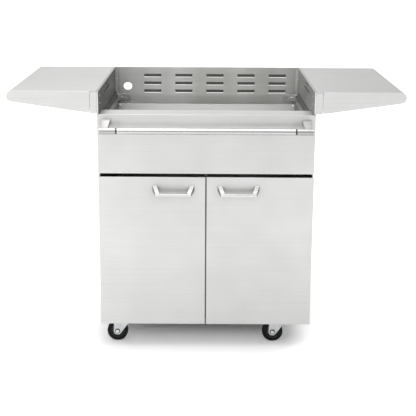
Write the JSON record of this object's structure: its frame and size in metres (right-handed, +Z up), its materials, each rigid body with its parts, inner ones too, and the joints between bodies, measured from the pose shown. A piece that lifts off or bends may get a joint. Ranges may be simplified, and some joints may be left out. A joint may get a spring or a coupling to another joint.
{
  "type": "grill cart with storage",
  "caption": "Stainless grill cart on swivel casters with an open grill bay, a wide drawer with a bar, double doors and fold-down side shelves.",
  "frame": {"origin": "on the floor, under the middle of the cart's bounding box at rest", "axes": "+Z up, +X to the right as seen from the front, +Y from the front to the back"},
  "size_m": [1.4586, 0.7624, 0.993],
  "materials": {
    "brushed_stainless": "brushed across, satin",
    "back_stainless": "brushed, duller",
    "bright_stainless": "fine brushed round the bar, near polished",
    "plain_steel": "mill finish sheet",
    "zinc_steel": "bright zinc plate",
    "screw_steel": "bright heads",
    "black_rubber": "solid black wheel, satin",
    "white_nylon": "moulded nylon",
    "black_magnet": "plastic case round a magnet"
  },
  "bodies": {
    "cart": {"side_panel_left": "brushed_stainless", "side_panel_right": "brushed_stainless", "inner_wall_left": "back_stainless", "inner_wall_right": "back_stainless", "caster_channel_left": "plain_steel", "caster_channel_right": "plain_steel", "rear_angle_left": "back_stainless", "rear_angle_right": "back_stainless", "slide_outer_left": "zinc_steel", "slide_outer_right": "zinc_steel", "slide_bracket_left": "zinc_steel", "slide_bracket_right": "zinc_steel", "shelf_rail_left": "brushed_stainless", "shelf_rail_right": "brushed_stainless", "back_panel_upper": "back_stainless", "back_panel_lower": "plain_steel", "base_pan": "plain_steel", "front_rail": "plain_steel", "centre_post": "plain_steel", "hinge_brackets": "zinc_steel", "door_catches": "black_magnet", "caster_plates": "zinc_steel", "body_screws": "screw_steel"},
    "drawer": {"drawer_front": "brushed_stainless", "drawer_tray": "plain_steel", "bar_tube": "bright_stainless", "drawer_bolts": "screw_steel", "slide_inner_left": "zinc_steel", "slide_inner_right": "zinc_steel", "bar_bracket_left": "bright_stainless", "bar_bracket_right": "bright_stainless"},
    "slide_left": {"slide_middle_left": "zinc_steel"},
    "slide_right": {"slide_middle_right": "zinc_steel"},
    "door_left": {"door_skin_left": "brushed_stainless", "door_liner_left": "plain_steel", "door_handle_left": "bright_stainless", "hinge_bushes_left": "white_nylon"},
    "door_right": {"door_skin_right": "brushed_stainless", "door_liner_right": "plain_steel", "door_handle_right": "bright_stainless", "hinge_bushes_right": "white_nylon"},
    "shelf_left": {"shelf_top_left": "brushed_stainless", "shelf_bottom_left": "plain_steel", "shelf_arms_left": "plain_steel"},
    "shelf_right": {"shelf_top_right": "brushed_stainless", "shelf_bottom_right": "plain_steel", "shelf_arms_right": "plain_steel"},
    "fork_front_left": {"caster_fork_front_left": "zinc_steel"},
    "wheel_front_left": {"caster_wheel_front_left": "black_rubber"},
    "fork_front_right": {"caster_fork_front_right": "zinc_steel"},
    "wheel_front_right": {"caster_wheel_front_right": "black_rubber"},
    "fork_rear_left": {"caster_fork_rear_left": "zinc_steel"},
    "wheel_rear_left": {"caster_wheel_rear_left": "black_rubber"},
    "fork_rear_right": {"caster_fork_rear_right": "zinc_steel"},
    "wheel_rear_right": {"caster_wheel_rear_right": "black_rubber"}
  },
  "joints": [
    {"name": "drawer_slide", "type": "slide", "parent": "cart", "child": "drawer", "axis": [0, -1, 0], "range_m": [0, 0.45]},
    {"name": "middle_slide_left", "type": "slide", "parent": "cart", "child": "slide_left", "axis": [0, -1, 0], "range_m": [0, 0.225]},
    {"name": "middle_slide_right", "type": "slide", "parent": "cart", "child": "slide_right", "axis": [0, -1, 0], "range_m": [0, 0.225]},
    {"name": "door_hinge_left", "type": "hinge", "parent": "cart", "child": "door_left", "pos_m": [-0.391, -0.30047, 0.3835], "axis": [0, 0, -1], "range_deg": [0, 105]},
    {"name": "door_hinge_right", "type": "hinge", "parent": "cart", "child": "door_right", "pos_m": [0.391, -0.30047, 0.3835], "axis": [0, 0, 1], "range_deg": [0, 105]},
    {"name": "shelf_hinge_left", "type": "hinge", "parent": "cart", "child": "shelf_left", "pos_m": [-0.4335, 0.03053, 0.92156], "axis": [0, -1, 0], "range_deg": [0, 90]},
    {"name": "shelf_hinge_right", "type": "hinge", "parent": "cart", "child": "shelf_right", "pos_m": [0.4335, 0.03053, 0.92156], "axis": [0, 1, 0], "range_deg": [0, 90]},
    {"name": "swivel_front_left", "type": "hinge", "parent": "cart", "child": "fork_front_left", "pos_m": [-0.302, -0.23947, 0.096], "axis": [0, 0, 1], "continuous": true},
    {"name": "roll_front_left", "type": "hinge", "parent": "fork_front_left", "child": "wheel_front_left", "pos_m": [-0.342, -0.23947, 0.04], "axis": [0, 1, 0], "continuous": true},
    {"name": "swivel_front_right", "type": "hinge", "parent": "cart", "child": "fork_front_right", "pos_m": [0.302, -0.23947, 0.096], "axis": [0, 0, 1], "continuous": true},
    {"name": "roll_front_right", "type": "hinge", "parent": "fork_front_right", "child": "wheel_front_right", "pos_m": [0.262, -0.23947, 0.04], "axis": [0, 1, 0], "continuous": true},
    {"name": "swivel_rear_left", "type": "hinge", "parent": "cart", "child": "fork_rear_left", "pos_m": [-0.302, 0.29552, 0.096], "axis": [0, 0, 1], "continuous": true},
    {"name": "roll_rear_left", "type": "hinge", "parent": "fork_rear_left", "child": "wheel_rear_left", "pos_m": [-0.342, 0.29552, 0.04], "axis": [0, 1, 0], "continuous": true},
    {"name": "swivel_rear_right", "type": "hinge", "parent": "cart", "child": "fork_rear_right", "pos_m": [0.302, 0.29552, 0.096], "axis": [0, 0, 1], "continuous": true},
    {"name": "roll_rear_right", "type": "hinge", "parent": "fork_rear_right", "child": "wheel_rear_right", "pos_m": [0.262, 0.29552, 0.04], "axis": [0, 1, 0], "continuous": true}
  ],
  "couplings": [
    {"joint": "middle_slide_left", "follows": "drawer_slide", "ratio": 0.5},
    {"joint": "middle_slide_right", "follows": "drawer_slide", "ratio": 0.5}
  ]
}
